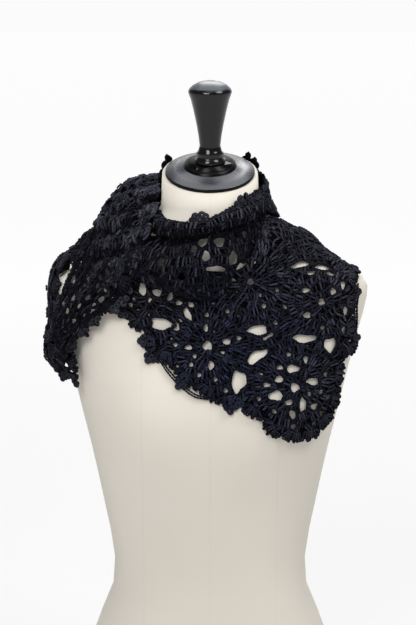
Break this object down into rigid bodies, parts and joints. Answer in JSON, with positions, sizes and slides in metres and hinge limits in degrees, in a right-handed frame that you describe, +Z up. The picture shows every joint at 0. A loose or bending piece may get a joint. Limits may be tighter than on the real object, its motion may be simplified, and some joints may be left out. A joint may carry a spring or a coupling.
{
  "type": "crochet scarf on a dress form",
  "caption": "Lacy crochet scarf of flower motifs, wound round the neck and shoulders of a limbless off-white dress form with a black turned neck cap and knob.",
  "frame": {"origin": "middle of the flat underside of the dress form, on the surface that it stands on", "axes": "+Z up along the form, the front of the wearer faces -Y, +X to the viewer's right"},
  "size_m": [0.3907, 0.2459, 0.7984],
  "materials": {
    "form_cover": "matte",
    "lacquer": "gloss",
    "crochet": "matte"
  },
  "bodies": {
    "root": {"form_torso": "form_cover", "neck_cap": "lacquer", "knob": "lacquer", "chest_panel": "crochet", "back_panel": "crochet", "back_collar": "crochet", "neck_cowl": "crochet", "hanging_end": "crochet", "shoulder_bundle": "crochet"}
  },
  "joints": []
}
